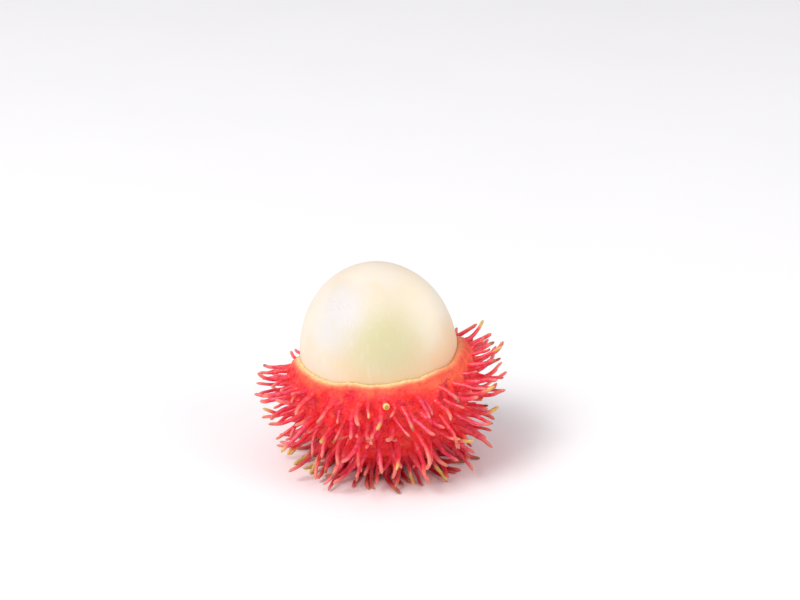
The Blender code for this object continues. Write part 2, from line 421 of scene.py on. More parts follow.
def cut_row(share, azimuths, corner, inner_angles):
    """One loop of the torn edge, this share of the way from the skin's last loop to the flesh."""
    points = []
    for azimuth, point, angle in zip(azimuths, corner, inner_angles):
        inner = to_world(hollow_point(angle, azimuth))
        crown = CUT_CROWN * math.sin(math.pi * share) + ragged(azimuth * 3.0 + share, CUT_RAGGED)
        points.append(point.lerp(inner, share) + cut_normal() * crown)
    return points


def make_skin(settings):
    """The rind without its spines: bumpy skin, the torn rim and the plain inside, as one closed surface."""
    roots = root_tree()
    azimuths = [2.0 * math.pi * i / SKIN_SEGMENTS for i in range(SKIN_SEGMENTS)]
    rims = [rim_angle(a) + ragged(a, RIM_RAGGED) / FRUIT_RADIUS for a in azimuths]
    rows, swell, below, cut = [], [], [], []

    def add_row(points, swells, depths, share_cut):
        rows.append(points)
        swell.extend(swells)
        below.extend(depths)
        cut.extend([share_cut] * SKIN_SEGMENTS)

    for step in range(1, SKIN_ROWS + 1):
        share = (step / SKIN_ROWS) ** SKIN_ROW_POWER
        add_row(*skin_row(share, azimuths, rims, roots, settings), 0.0)
    corner = rows[-1]
    inner_angles = []
    for azimuth, point in zip(azimuths, corner):
        edge = to_fruit(point).z + LIP_RISE + ragged(azimuth + 2.0, INNER_RAGGED)
        inner_angles.append(hollow_rim_angle(edge))
    flat = [0.0] * SKIN_SEGMENTS
    for step in range(1, CUT_ROWS + 1):
        share = step / CUT_ROWS
        points = cut_row(share, azimuths, corner, inner_angles)
        add_row(points, flat, [-share] * SKIN_SEGMENTS, smooth_step(0.0, CREAM_FROM, share))
    for step in range(1, INNER_ROWS):
        share = 1.0 - step / INNER_ROWS
        points = [to_world(hollow_point(share * angle, turn)) for turn, angle in zip(azimuths, inner_angles)]
        add_row(points, flat, [-1.0] * SKIN_SEGMENTS, 1.0)
    lowest = to_world((0.0, 0.0, -FRUIT_HALF_LENGTH))
    lowest.z = 0.0
    deepest = to_world(hollow_point(0.0, 0.0))
    vertices, faces = closed_rows(rows, lowest, deepest)
    attributes = {
        "swell": [0.0, *swell, 0.0],
        "below_rim": [POLE_BELOW_RIM, *below, -1.0],
        "cut": [0.0, *cut, 1.0],
    }
    return add_mesh("rind_skin", vertices, [], faces, attributes)


def broken_path(spine):
    """Points along the broken spine, which widens to its open end."""
    return [spine.root + (spine.normal * out - Vector((0.0, 0.0, drop))) * MM for out, drop in BROKEN_STEPS]


def fitted_path(spine):
    """The spine's path at its size, drawn in more where its sides would reach past the solids' box."""
    path = spine_path(spine)
    low, high = CAD_BOX
    for share in DRAWN_IN:
        drawn = [path[0] + (point - path[0]) * share * spine.size for point in path]
        if all(low[k] + BOX_MARGIN < point[k] < high[k] - BOX_MARGIN for point in drawn[2:] for k in (0, 1)):
            break
    return drawn


def make_spine_lines(foot_radius):
    """An edge line along each spine, which carries its thickness and the numbers its colours are drawn by."""
    rng = random.Random(SPINE_SEED + 1)
    vertices, edges, carried = [], [], defaultdict(list)
    for spine in all_spines():
        broken = spine.draws is None
        path = broken_path(spine) if broken else fitted_path(spine)
        first = len(vertices)
        vertices.extend(path)
        edges.extend((first + i, first + i + 1) for i in range(len(path) - 1))
        numbers = {
            "tint": rng.random(),
            "tip_kind": rng.random(),
            "thickness": rng.uniform(*THICKNESS_RANGE) * (0.5 + 0.5 * spine.size),
            "foot_share": min(WIDEST_FOOT, (spine.below_rim - RIM_CLEARANCE) / foot_radius),
            "broken": float(broken),
        }
        for name, value in numbers.items():
            carried[name].extend([value] * len(path))
        if broken:
            carried["thickness"][-len(path):] = BROKEN_THICKNESS
    return add_mesh("rind_spines", vertices, edges, [], carried)


def make_flesh():
    """The flesh: a smooth egg with faint dimples."""
    bm = bmesh.new()
    bmesh.ops.create_icosphere(bm, subdivisions=FLESH_SUBDIVISIONS, radius=1.0)
    for vert in bm.verts:
        half_length = FLESH_TOP_LENGTH if vert.co.z > 0.0 else FLESH_BOTTOM_LENGTH
        dimple = 1.0 - FLESH_DIMPLES * (0.5 + 0.5 * noise.fractal(vert.co * 2.2, 1.0, 2.0, 2))
        local = Vector((FLESH_RADIUS * vert.co.x, FLESH_RADIUS * vert.co.y, half_length * vert.co.z)) * dimple
        vert.co = to_world(local + Vector((0.0, 0.0, FLESH_RAISE)))
    mesh = bpy.data.meshes.new("flesh_ball")
    bm.to_mesh(mesh)
    bm.free()
    mesh.shade_smooth()
    return add_object("flesh_ball", mesh)


# ---------------------------------------------------------------- spines with geometry nodes


def spine_tree():
    """Round tapering spines along every edge line, wide at the foot and blunt at the tip."""
    tree = bpy.data.node_groups.new("Rambutan spines", "GeometryNodeTree")
    face = tree.interface
    face.new_socket("Geometry", in_out="INPUT", socket_type="NodeSocketGeometry")
    for name in ("Foot Radius", "Shaft Radius", "Tip Radius", "Waver"):
        face.new_socket(name, in_out="INPUT", socket_type="NodeSocketFloat").subtype = "DISTANCE"
    for name in ("Points", "Sides", "Seed"):
        face.new_socket(name, in_out="INPUT", socket_type="NodeSocketInt")
    face.new_socket("Material", in_out="INPUT", socket_type="NodeSocketMaterial")
    face.new_socket("Geometry", in_out="OUTPUT", socket_type="NodeSocketGeometry")
    nodes, links = tree.nodes, tree.links
    given = nodes.new("NodeGroupInput").outputs

    def feed(socket, value):
        if isinstance(value, bpy.types.NodeSocket):
            links.new(value, socket)
        else:
            socket.default_value = value

    def node(kind, **values):
        made = nodes.new(kind)
        for name, value in values.items():
            feed(made.inputs[name.replace("_", " ")], value)
        return made

    def math_node(operation, first, second=0.0):
        made = nodes.new("ShaderNodeMath")
        made.operation = operation
        feed(made.inputs[0], first)
        feed(made.inputs[1], second)
        return made.outputs[0]

    def named(name):
        made = nodes.new("GeometryNodeInputNamedAttribute")
        made.data_type = "FLOAT"
        made.inputs["Name"].default_value = name
        return made.outputs["Attribute"]

    to_curve = node("GeometryNodeMeshToCurve", Mesh=given["Geometry"])
    spline = node("GeometryNodeCurveSplineType", Curve=to_curve.outputs["Curve"])
    spline.spline_type = "CATMULL_ROM"
    resample = node("GeometryNodeResampleCurve", Curve=spline.outputs["Curve"], Count=given["Points"])
    along = node("GeometryNodeSplineParameter").outputs["Factor"]

    waver = nodes.new("ShaderNodeTexNoise")
    waver.noise_dimensions = "4D"
    for name, value in (("W", given["Seed"]), ("Scale", WAVER_DENSITY), ("Detail", 1.5)):
        feed(waver.inputs[name], value)
    centred = nodes.new("ShaderNodeVectorMath")
    centred.operation = "SUBTRACT"
    centred.inputs[1].default_value = (0.5, 0.5, 0.5)
    feed(centred.inputs[0], waver.outputs["Color"])
    scaled = nodes.new("ShaderNodeVectorMath")
    scaled.operation = "SCALE"
    feed(scaled.inputs[0], centred.outputs["Vector"])
    feed(scaled.inputs["Scale"], given["Waver"])
    moved = node("GeometryNodeSetPosition", Geometry=resample.outputs["Curve"])
    feed(moved.inputs["Offset"], scaled.outputs["Vector"])

    stored = nodes.new("GeometryNodeStoreNamedAttribute")
    stored.data_type = "FLOAT"
    stored.domain = "POINT"
    for name, value in (("Name", "along"), ("Geometry", moved.outputs["Geometry"]), ("Value", along)):
        feed(stored.inputs[name], value)

    left = math_node("SUBTRACT", 1.0, along)
    flare = math_node("POWER", left, FLARE_POWER)
    foot = math_node("MULTIPLY", given["Foot Radius"], named("foot_share"))
    extra = math_node("SUBTRACT", foot, given["Shaft Radius"])
    thinner = math_node("SUBTRACT", given["Tip Radius"], given["Shaft Radius"])
    body = math_node("ADD", given["Shaft Radius"], math_node("MULTIPLY", extra, flare))
    taper = math_node("ADD", body, math_node("MULTIPLY", thinner, math_node("POWER", along, TAPER_POWER)))
    closing = math_node("MULTIPLY", math_node("ADD", left, TIP_OPENING), TIP_CLOSING)
    blunt = math_node("SQRT", math_node("MINIMUM", 1.0, closing))
    radius = math_node("MULTIPLY", math_node("MULTIPLY", taper, blunt), named("thickness"))

    circle = node("GeometryNodeCurvePrimitiveCircle", Radius=1.0, Resolution=given["Sides"])
    tube = node(
        "GeometryNodeCurveToMesh", Curve=stored.outputs["Geometry"], Profile_Curve=circle.outputs["Curve"],
        Scale=radius, Fill_Caps=True,
    )
    smooth = node("GeometryNodeSetShadeSmooth", Geometry=tube.outputs["Mesh"])
    realize = node("GeometryNodeRealizeInstances", Geometry=smooth.outputs["Geometry"])
    painted = node(
        "GeometryNodeSetMaterial", Geometry=realize.outputs["Geometry"], Material=given["Material"]
    )
    node("NodeGroupOutput", Geometry=painted.outputs["Geometry"])
    return tree


def apply_tree(obj, tree, values):
    """Runs a node tree on the object with these input values and keeps its result as a plain mesh."""
    modifier = obj.modifiers.new(tree.name, "NODES")
    modifier.node_group = tree
    sockets = {item.name: item.identifier for item in tree.interface.items_tree if item.in_out == "INPUT"}
    for name, value in values.items():
        modifier[sockets[name]] = value
    obj.update_tag()
    graph = bpy.context.evaluated_depsgraph_get()
    graph.update()
    made = bpy.data.meshes.new_from_object(obj.evaluated_get(graph))
    old = obj.data
    obj.modifiers.clear()
    obj.data = made
    bpy.data.meshes.remove(old)


# ---------------------------------------------------------------- materials


class Paint:
    """Builds one material's nodes around its Principled shader."""

    def __init__(self, name):
        self.material = bpy.data.materials.new(name)
        self.material.use_nodes = True
        self.tree = self.material.node_tree
        self.shader = self.tree.nodes["Principled BSDF"]
        self.place = self.tree.nodes.new("ShaderNodeTexCoord").outputs["Object"]

    def feed(self, socket, value):
        """Links an output to a socket, or sets the socket to a number or a colour."""
        if isinstance(value, bpy.types.NodeSocket):
            self.tree.links.new(value, socket)
        elif isinstance(value, (int, float)):
            socket.default_value = value
        else:
            socket.default_value = (*value, 1.0) if len(socket.default_value) == 4 else tuple(value)

    def attribute(self, name):
        """A float attribute of the mesh."""
        node = self.tree.nodes.new("ShaderNodeAttribute")
        node.attribute_name = name
        return node.outputs["Fac"]

    def noise(self, size, detail=3.0, roughness=0.55, distortion=0.0, vector=None):
        """Noise with features of about this size."""
        node = self.tree.nodes.new("ShaderNodeTexNoise")
        self.feed(node.inputs["Vector"], vector or self.place)
        node.inputs["Scale"].default_value = 1.0 / size
        node.inputs["Detail"].default_value = detail
        node.inputs["Roughness"].default_value = roughness
        node.inputs["Distortion"].default_value = distortion
        return node.outputs["Fac"]

    def cells(self, size):
        """The distance to the nearest of many cell centres of about this size."""
        node = self.tree.nodes.new("ShaderNodeTexVoronoi")
        self.feed(node.inputs["Vector"], self.place)
        node.inputs["Scale"].default_value = 1.0 / size
        return node.outputs["Distance"]

    def distance(self, place, point):
        """How far each place is from a point."""
        node = self.tree.nodes.new("ShaderNodeVectorMath")
        node.operation = "DISTANCE"
        self.feed(node.inputs[0], place)
        self.feed(node.inputs[1], point)
        return node.outputs["Value"]

    def math(self, operation, first, second=0.0):
        """One math node."""
        node = self.tree.nodes.new("ShaderNodeMath")
        node.operation = operation
        self.feed(node.inputs[0], first)
        self.feed(node.inputs[1], second)
        return node.outputs[0]

    def ramp(self, value, low, high, start=0.0, end=1.0):
        """Goes smoothly from start at low to end at high."""
        node = self.tree.nodes.new("ShaderNodeMapRange")
        node.interpolation_type = "SMOOTHSTEP"
        for socket, number in zip(node.inputs, (value, low, high, start, end)):
            self.feed(socket, number)
        return node.outputs["Result"]

    def mix(self, share, first, second):
        """Mixes two colours."""
        node = self.tree.nodes.new("ShaderNodeMix")
        node.data_type = "RGBA"
        self.feed(node.inputs["Factor"], share)
        self.feed(node.inputs[6], first)
        self.feed(node.inputs[7], second)
        return node.outputs[2]

    def axis(self, place, name):
        """One coordinate of each place."""
        node = self.tree.nodes.new("ShaderNodeSeparateXYZ")
        self.feed(node.inputs[0], place)
        return node.outputs[name]

    def bump(self, height, distance, strength):
        """A bump of this height."""
        node = self.tree.nodes.new("ShaderNodeBump")
        node.inputs["Strength"].default_value = strength
        node.inputs["Distance"].default_value = distance
        self.feed(node.inputs["Height"], height)
        return node.outputs["Normal"]

    def finish(self, colour, roughness, normal=None, **constants):
        """Feeds the shader. The constants are set on its own sockets."""
        self.feed(self.shader.inputs["Base Color"], colour)
        self.feed(self.shader.inputs["Roughness"], roughness)
        if normal is not None:
            self.feed(self.shader.inputs["Normal"], normal)
        for name, value in constants.items():
            self.feed(self.shader.inputs[name.replace("_", " ")], value)
        return self.material


def skin_material(settings):
    """Red skin with crimson spots, painted crimson shade between the spines' feet, painted pink highlights on
    their swellings, orange under the rim, and cream where it is torn.
    """
    paint = Paint("rambutan_skin")
    patches = paint.noise(2.6 * MM, 3.0, 0.6)
    spots = paint.noise(1.5 * MM, 2.0, 0.5)
    grain = paint.noise(0.7 * MM, 4.0, 0.65)
    pebbles = paint.cells(0.62 * MM)
    swell = paint.attribute("swell")
    below = paint.attribute("below_rim")
    cut = paint.attribute("cut")
    red = paint.mix(paint.ramp(patches, 0.42, 0.66), settings.skin_red, settings.skin_orange)
    # Painted shade: crimson in the hollows between the spines' feet.
    hollow_shade = paint.ramp(paint.math("ADD", swell, paint.math("MULTIPLY", grain, 0.5)), 0.12, 0.72, 1.0, 0.0)
    shaded = paint.mix(paint.math("MULTIPLY", hollow_shade, 0.62), red, settings.skin_crimson_and_shade)
    flecks = paint.ramp(grain, 0.56, 0.74, 0.0, 0.35)
    flecked = paint.mix(flecks, shaded, settings.skin_orange)
    # Painted highlight: pink on the swollen feet of the spines.
    highlight_on_swells = paint.math("MULTIPLY", paint.ramp(swell, 0.45, 1.0), paint.ramp(patches, 0.4, 0.6, 0.3, 0.8))
    highlighted = paint.mix(highlight_on_swells, flecked, settings.skin_pink_highlight)
    side = paint.axis(paint.place, "X")
    uneven = paint.math("MULTIPLY", paint.math("SUBTRACT", patches, 0.5), 3.0)
    nearer = paint.ramp(side, 3.0 * MM, 15.0 * MM, 0.0, 1.8)
    edge = paint.math("SUBTRACT", paint.math("ADD", below, uneven), nearer)
    banded = paint.mix(paint.ramp(edge, -0.2, 1.1, 0.85, 0.0), highlighted, settings.rim_orange)
    clear_of_rim = paint.ramp(below, 0.2, 2.0, 0.35)
    spotting = paint.math("MULTIPLY", paint.ramp(spots, 0.53, 0.64, 0.0, 0.75), clear_of_rim)
    spotted = paint.mix(spotting, banded, settings.skin_crimson_and_shade)
    torn = paint.mix(paint.ramp(grain, 0.35, 0.7), settings.cut_cream, settings.cut_yellow)
    blush = paint.math("ADD", side, paint.math("MULTIPLY", patches, 6.0 * MM))
    torn = paint.mix(paint.ramp(blush, 9.0 * MM, 20.0 * MM, 0.0, 0.65), torn, settings.rim_orange)
    colour = paint.mix(cut, spotted, torn)
    relief = paint.math("ADD", paint.math("MULTIPLY", grain, 0.6), paint.math("MULTIPLY", pebbles, -0.5))
    normal = paint.bump(relief, 0.4 * MM, 1.0)
    roughness = paint.ramp(grain, 0.3, 0.75, settings.skin_roughness, settings.skin_roughness + 0.22)
    return paint.finish(colour, roughness, normal, Specular_IOR_Level=0.35)


def spine_material(settings):
    """Pinkish red spines with painted pink highlights in streaks, redder at the foot, darker near the floor
    (partly painted shade, partly darker spines underneath), with salmon or greenish tips and browned ends.
    The broken one ends in a cream ring round olive pith."""
    paint = Paint("rambutan_spine")
    along = paint.attribute("along")
    tint = paint.attribute("tint")
    kind = paint.attribute("tip_kind")
    streaks = paint.noise(0.9 * MM, 3.0, 0.6)
    shaft = paint.mix(paint.ramp(tint, 0.1, 0.95), settings.shaft_magenta, settings.shaft_red)
    # Painted highlight: paler pink streaks along the spines.
    shaft = paint.mix(paint.ramp(streaks, 0.38, 0.72, 0.0, 0.6), shaft, settings.shaft_pink_highlight)
    growth = paint.math("ADD", along, paint.math("MULTIPLY", paint.math("SUBTRACT", streaks, 0.5), 0.3))
    from_foot = paint.mix(paint.ramp(growth, 0.1, 0.5), settings.foot_red, shaft)
    # Darker towards the floor: partly painted shade, partly darker spines underneath.
    under = paint.ramp(paint.axis(paint.place, "Z"), 1.0 * MM, 9.0 * MM, 0.75, 0.0)
    floor_shaded = paint.mix(under, from_foot, settings.shaft_dark_and_shade)
    dry = paint.math("MULTIPLY", paint.ramp(kind, 0.9, 0.92), under)
    reach = paint.math("ADD", along, paint.math("MULTIPLY", paint.math("SUBTRACT", tint, 0.5), 0.2))
    reach = paint.math("ADD", reach, paint.math("MULTIPLY", dry, 0.4))
    salmon = paint.mix(paint.ramp(reach, 0.68, 1.0, 0.0, 0.85), floor_shaded, settings.tip_salmon)
    greenish = paint.mix(paint.ramp(reach, 0.78, 0.97), salmon, settings.tip_green)
    tipped = paint.mix(paint.ramp(kind, 0.86, 0.91), salmon, greenish)
    browning = paint.math("MULTIPLY", paint.ramp(reach, 0.86, 1.0), paint.ramp(kind, 0.1, 0.4, 0.85, 0.2))
    browned = paint.mix(browning, tipped, settings.end_brown)
    broken = paint.attribute("broken")
    ring = paint.math("MULTIPLY", broken, paint.ramp(along, 0.84, 0.9))
    ringed = paint.mix(ring, browned, settings.ring_cream)
    pith = paint.math("MULTIPLY", broken, paint.ramp(along, 0.965, 0.985))
    colour = paint.mix(pith, ringed, settings.pith_olive)
    normal = paint.bump(paint.noise(0.35 * MM, 2.0), 0.12 * MM, 0.5)
    return paint.finish(
        colour, settings.spine_roughness, normal, Subsurface_Weight=0.15,
        Subsurface_Radius=(1.0, 0.25, 0.2), Subsurface_Scale=0.6 * MM, Specular_IOR_Level=0.5,
    )


def flesh_material(settings):
    """Moist, slightly translucent flesh: cream, with painted reddish bounce light from the rind below,
    painted warm light to the right and lighter still at its upper right, a greenish heart, a painted
    reflection of the soft light to the left with painted gleams in it, faint fibres and a few fine wrinkles."""
    paint = Paint("rambutan_flesh")
    turned = paint.tree.nodes.new("ShaderNodeMapping")
    turned.inputs["Location"].default_value = to_fruit((0.0, 0.0, 0.0))
    turned.inputs["Rotation"].default_value = AXES.transposed().to_euler()
    paint.feed(turned.inputs["Vector"], paint.place)
    local = turned.outputs["Vector"]
    side = paint.axis(local, "X")
    cloud = paint.noise(9.0 * MM, 2.0, 0.5)
    drift = paint.math("MULTIPLY", paint.math("SUBTRACT", cloud, 0.5), 8.0 * MM)
    height = paint.math("ADD", paint.axis(local, "Z"), drift)
    low = paint.ramp(height, -1.0 * MM, 11.0 * MM, 1.0, 0.0)
    pale = paint.mix(paint.ramp(cloud, 0.35, 0.65, 0.0, 0.6), settings.flesh_cream, settings.flesh_white_and_gleam)
    # Painted light: the right of the flesh warmer and lighter, and lighter still at its upper right.
    right = paint.ramp(side, 3.0 * MM, 14.0 * MM)
    honey_light = paint.math("MULTIPLY", paint.ramp(height, 0.0, 15.0 * MM, 0.9, 0.15), right)
    pearl_light = paint.math("MULTIPLY", paint.ramp(height, 4.0 * MM, 12.0 * MM, 0.0, 0.8), right)
    lit_right = paint.mix(pearl_light, paint.mix(honey_light, pale, settings.flesh_honey_light), settings.flesh_pearl_light)
    # Painted bounce light: peach from the red rind on the lower flesh.
    peach_bounce = paint.math("MULTIPLY", low, paint.ramp(side, -14.0 * MM, -4.0 * MM, 0.5, 0.85))
    bounced = paint.mix(peach_bounce, lit_right, settings.flesh_peach_bounce)
    deep = paint.distance(local, GREEN_HEART)
    heart = paint.ramp(deep, 1.0 * MM, 14.0 * MM, 0.8, 0.0)
    green = paint.mix(heart, bounced, settings.flesh_green)
    stretched = paint.tree.nodes.new("ShaderNodeMapping")
    stretched.inputs["Scale"].default_value = (1.0, 1.0, 0.12)
    paint.feed(stretched.inputs["Vector"], local)
    fibres = paint.noise(0.8 * MM, 3.0, 0.6, 0.4, stretched.outputs["Vector"])
    streak_cover = paint.ramp(paint.noise(2.2 * MM, 2.0), 0.45, 0.62)
    fibred = paint.mix(paint.ramp(fibres, 0.5, 0.8, 0.0, 0.25), green, settings.flesh_white_and_gleam)
    drifting = paint.math("MULTIPLY", cloud, 6.0 * MM)
    # Painted reflection of the soft light: a pale grey patch to the upper left.
    upper = paint.distance(local, UPPER_REFLECTION)
    lower = paint.distance(local, LOWER_REFLECTION)
    reflection_top = paint.ramp(paint.math("ADD", upper, drifting), 4.0 * MM, 12.5 * MM, 1.0, 0.0)
    reflection_low = paint.ramp(paint.math("ADD", lower, drifting), 4.0 * MM, 11.5 * MM, 0.85, 0.0)
    reflection_patch = paint.math("MAXIMUM", reflection_top, reflection_low)
    swirl = paint.math("MULTIPLY", paint.noise(5.0 * MM, 3.0, 0.6), 24.0)
    ripples = paint.math("SINE", paint.math("ADD", paint.math("DIVIDE", lower, WRINKLE_SPACING), swirl))
    streaks = paint.math("MULTIPLY", reflection_patch, streak_cover)
    streaks = paint.math("MULTIPLY", paint.ramp(lower, 1.5 * MM, 5.0 * MM), streaks)
    wrinkles = paint.math("MULTIPLY", paint.ramp(ripples, 0.4, 1.0), streaks)
    # Painted highlight: pale gleams between the wrinkles in the painted reflection.
    gleam_highlights = paint.math("MULTIPLY", paint.ramp(ripples, -0.4, -1.0), streaks)
    reflected = paint.mix(paint.math("MULTIPLY", reflection_patch, 0.85), fibred, settings.flesh_haze_reflection)
    gleamed = paint.mix(paint.math("MULTIPLY", gleam_highlights, 0.4), reflected, settings.flesh_white_and_gleam)
    colour = paint.mix(paint.math("MULTIPLY", wrinkles, 0.16), gleamed, settings.flesh_grey)
    relief = paint.math("ADD", paint.math("MULTIPLY", fibres, 0.35), paint.math("MULTIPLY", wrinkles, -0.4))
    normal = paint.bump(relief, 0.10 * MM, 0.6)
    roughness = paint.ramp(cloud, 0.3, 0.7, settings.flesh_roughness, settings.flesh_roughness + 0.1)
    return paint.finish(
        colour, roughness, normal, Subsurface_Weight=0.35, Subsurface_Radius=(1.0, 0.75, 0.5),
        Subsurface_Scale=3.0 * MM, Specular_IOR_Level=0.42,
    )


def floor_material(settings):
    """A plain pale floor with a very faint unevenness."""
    paint = Paint("pale_floor")
    roughness = paint.ramp(paint.noise(60.0 * MM, 2.0), 0.3, 0.7, 0.5, 0.6)
    return paint.finish(settings.floor_colour, roughness, Specular_IOR_Level=0.2)


# ---------------------------------------------------------------- settings


def colour_property(name, description, value):
    """A colour setting."""
    return bpy.props.FloatVectorProperty(
        name=name, description=description, subtype="COLOR", size=3, min=0.0, max=1.0, default=value
    )


def length_property(name, description, value):
    """A length setting in metres."""
    return bpy.props.FloatProperty(
        name=name, description=description, default=value, min=0.0, unit="LENGTH", subtype="DISTANCE",
        precision=5,
    )


def share_property(name, description, value):
    """A setting from 0 to 1."""
    return bpy.props.FloatProperty(
        name=name, description=description, default=value, min=0.0, max=1.0, subtype="FACTOR"
    )


class RambutanRindSettings(bpy.types.PropertyGroup):
    """The skin and the torn rim."""

    foot_height: length_property("Foot Height", "How far the skin swells up round a spine's foot", 1.15 * MM)
    foot_width: length_property("Foot Width", "How wide the swelling round a spine's foot is", 1.5 * MM)
    lump_height: length_property("Lump Height", "Height of the small lumps of the skin", 0.26 * MM)
    skin_roughness: share_property("Skin Roughness", "Shader roughness of the skin", 0.42)
    skin_red: colour_property("Skin Red", "Main colour of the skin", (0.93, 0.018, 0.02))
    skin_orange: colour_property("Skin Orange", "Lighter patches of the skin", (0.97, 0.085, 0.04))
    # The crimson of the real spots, also used as painted shade between the spines' feet.
    skin_crimson_and_shade: colour_property("Skin Crimson", "The skin between the spines' feet", (0.61, 0.004, 0.04))
    # Painted pink highlight on the swellings round the spines' feet.
    skin_pink_highlight: colour_property("Skin Pink", "The swellings round the spines' feet", (0.93, 0.04, 0.06))
    rim_orange: colour_property("Rim Orange", "The band of skin under the rim", (0.94, 0.135, 0.06))
    cut_cream: colour_property("Cut Cream", "Paler part of the torn rim", (0.98, 0.76, 0.40))
    cut_yellow: colour_property("Cut Yellow", "Yellower part of the torn rim", (0.97, 0.58, 0.20))


class RambutanSpineSettings(bpy.types.PropertyGroup):
    """The soft spines."""

    foot_radius: length_property("Foot Radius", "Radius of a spine where it starts inside the rind", 1.9 * MM)
    shaft_radius: length_property("Shaft Radius", "Radius of a spine along its middle", 0.55 * MM)
    tip_radius: length_property("Tip Radius", "Radius of a spine just before its blunt tip", 0.36 * MM)
    waver: length_property("Waver", "How far a spine strays from its smooth curve", 1.3 * MM)
    points: bpy.props.IntProperty(
        name="Points", description="Points along a spine", default=22, min=4, max=60
    )
    sides: bpy.props.IntProperty(name="Sides", description="Sides round a spine", default=9, min=3, max=24)
    seed: bpy.props.IntProperty(name="Seed", description="Seed of the waver", default=3, min=0)
    spine_roughness: share_property("Spine Roughness", "Shader roughness of the spines", 0.3)
    foot_red: colour_property("Foot Red", "Colour at a spine's foot", (0.92, 0.035, 0.03))
    shaft_magenta: colour_property("Shaft Magenta", "Pinker spines", (0.72, 0.02, 0.07))
    shaft_red: colour_property("Shaft Red", "Redder spines", (0.82, 0.025, 0.04))
    # Painted pink highlight, laid on the spines in streaks.
    shaft_pink_highlight: colour_property("Shaft Pink", "Paler streaks along a spine", (0.90, 0.16, 0.20))
    # Darker colour near the floor: partly painted shade, partly darker spines underneath.
    shaft_dark_and_shade: colour_property("Shaft Dark", "The spines near the floor", (0.45, 0.012, 0.03))
    tip_salmon: colour_property("Tip Salmon", "Colour of most tips", (0.87, 0.255, 0.19))
    tip_green: colour_property("Tip Green", "Colour of the greenish tips", (0.72, 0.50, 0.12))
    end_brown: colour_property("End Brown", "Colour of the very ends", (0.26, 0.10, 0.03))
    ring_cream: colour_property("Ring Cream", "The rim of the broken spine's end", (0.95, 0.62, 0.20))
    pith_olive: colour_property("Pith Olive", "The middle of the broken spine's end", (0.48, 0.28, 0.05))


class RambutanFleshSettings(bpy.types.PropertyGroup):
    """The white flesh."""

    flesh_roughness: share_property("Flesh Roughness", "Shader roughness of the flesh", 0.56)
    flesh_cream: colour_property("Flesh Cream", "Main colour of the flesh", (0.76, 0.645, 0.475))
    # Paler clouds and fibres of the flesh, and the colour of the painted gleams in the reflection.
    flesh_white_and_gleam: colour_property("Flesh White", "Paler clouds and fibres", (0.79, 0.725, 0.65))
    # Painted reddish bounce light from the rind on the lower flesh.
    flesh_peach_bounce: colour_property("Flesh Peach", "Lower part of the flesh", (0.85, 0.57, 0.34))
    # Painted warm light on the right of the flesh.
    flesh_honey_light: colour_property("Flesh Honey", "The flesh on the right", (0.92, 0.71, 0.45))
    # Painted light on the upper right of the flesh.
    flesh_pearl_light: colour_property("Flesh Pearl", "The upper right of the flesh", (0.95, 0.86, 0.70))
    flesh_green: colour_property("Flesh Green", "Greenish heart seen through the flesh", (0.57, 0.54, 0.285))
    # Painted reflection of the soft light on the flesh.
    flesh_haze_reflection: colour_property("Flesh Haze", "The paler, greyer patch", (0.66, 0.64, 0.645))
    flesh_grey: colour_property("Flesh Grey", "Fine wrinkles", (0.52, 0.50, 0.49))


class RambutanStageSettings(bpy.types.PropertyGroup):
    """The floor, the lights and the camera."""

    floor_colour: colour_property("Floor Colour", "Colour of the floor", (0.93, 0.93, 0.93))
    surround: bpy.props.FloatProperty(
        name="Surround", description="Strength of the even light", default=0.56, min=0.0
    )
    key_power: bpy.props.FloatProperty(
        name="Key Power", description="Power of the large soft light", default=17.0, min=0.0, unit="POWER"
    )
    fill_power: bpy.props.FloatProperty(
        name="Fill Power", description="Power of the weak light opposite", default=5.5, min=0.0, unit="POWER"
    )
    lens: bpy.props.FloatProperty(
        name="Lens", description="Focal length", default=85.0, min=10.0, unit="CAMERA",
        subtype="DISTANCE_CAMERA",
    )
    elevation: bpy.props.FloatProperty(
        name="Elevation", description="How far down the camera looks", default=math.radians(21.0),
        subtype="ANGLE",
    )
    distance: length_property("Distance", "From the camera to the point it looks at", 0.4033)
    aside: length_property("Aside", "How far right of the object's middle the camera looks", 0.0042)
    above: length_property("Above", "How far above the object's middle the camera looks", 0.0129)


# ---------------------------------------------------------------- operators


class RAMBUTAN_OT_rind_skin(bpy.types.Operator):
    """Build the rind's bumpy skin, torn rim and inside"""

    bl_idname = "rambutan.rind_skin"
    bl_label = "Rind Skin"

    def execute(self, context):
        settings = context.scene.rambutan_rind
        skin = make_skin(settings)
        skin.data.materials.append(skin_material(settings))
        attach(skin, "root")
        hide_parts("rind")
        return {"FINISHED"}


class RAMBUTAN_OT_rind_spines(bpy.types.Operator):
    """Build the soft spines that grow out of the rind"""

    bl_idname = "rambutan.rind_spines"
    bl_label = "Rind Spines"

    def execute(self, context):
        settings = context.scene.rambutan_spines
        spines = make_spine_lines(settings.foot_radius)
        values = {
            "Foot Radius": settings.foot_radius,
            "Shaft Radius": settings.shaft_radius,
            "Tip Radius": settings.tip_radius,
            "Waver": settings.waver,
            "Points": settings.points,
            "Sides": settings.sides,
            "Seed": settings.seed,
            "Material": spine_material(settings),
        }
        apply_tree(spines, spine_tree(), values)
        for vertex in spines.data.vertices:
            vertex.co.z = max(0.0, vertex.co.z)
        if not spines.data.polygons:
            raise RuntimeError("the spines came out empty")
        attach(spines, "root")
        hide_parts("rind")
        return {"FINISHED"}


class RAMBUTAN_OT_flesh(bpy.types.Operator):
    """Build the white flesh that sits in the rind"""

    bl_idname = "rambutan.flesh"
    bl_label = "Flesh"

    def execute(self, context):
        flesh = make_flesh()
        flesh.data.materials.append(flesh_material(context.scene.rambutan_flesh))
        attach(flesh, "root")
        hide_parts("flesh")
        return {"FINISHED"}


